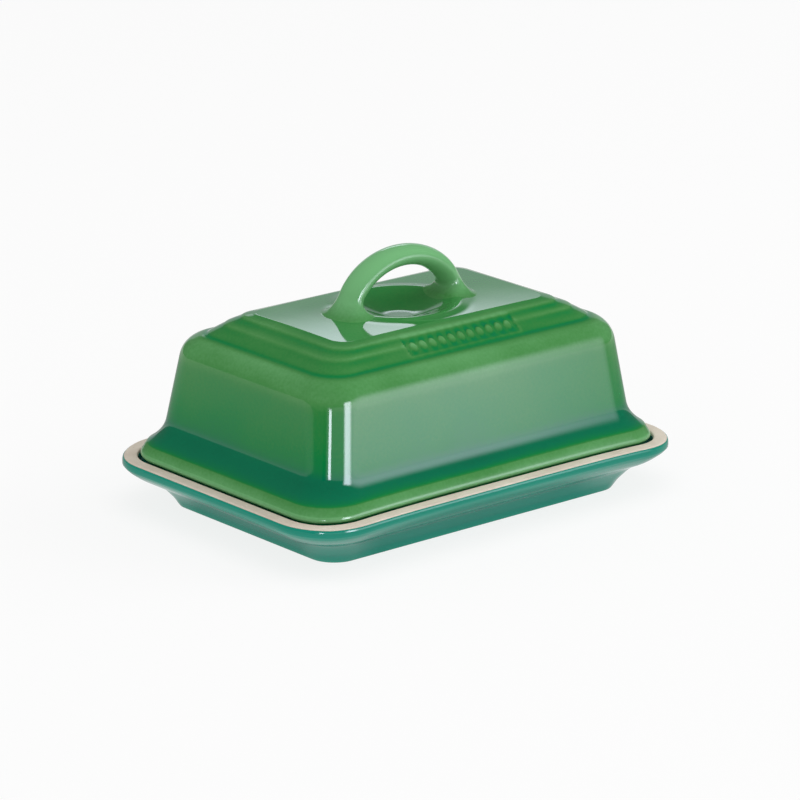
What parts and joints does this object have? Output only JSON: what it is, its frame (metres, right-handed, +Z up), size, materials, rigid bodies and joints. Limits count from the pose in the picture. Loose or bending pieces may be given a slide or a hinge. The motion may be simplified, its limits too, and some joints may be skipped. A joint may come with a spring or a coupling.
{
  "type": "butter dish",
  "caption": "Rectangular glazed stoneware butter dish: low tray with a bare clay rim, and a deep stepped lid with a loop handle.",
  "frame": {"origin": "centre of the foot ring's underside, on the table", "axes": "+X along the dish and the handle, +Y to the back, away from the lid's beaded panel, +Z up"},
  "size_m": [0.17, 0.1188, 0.0897],
  "materials": {
    "tray_glaze": "glossy deep teal-green glaze",
    "lid_glaze": "glossy green glaze, lighter on the handle and edges and deeper towards the skirt",
    "bare_clay": "matt bare cream stoneware"
  },
  "bodies": {
    "tray": {"tray_body": "tray_glaze", "tray_rim_band": "bare_clay", "tray_foot_ring": "bare_clay"},
    "lid": {"lid_shell": "lid_glaze", "lid_handle": "lid_glaze", "lid_seat_edge": "bare_clay"}
  },
  "joints": [
    {"name": "lid_lift", "type": "slide", "parent": "tray", "child": "lid", "axis": [0, 0, 1], "range_m": [0, 0.1]}
  ]
}
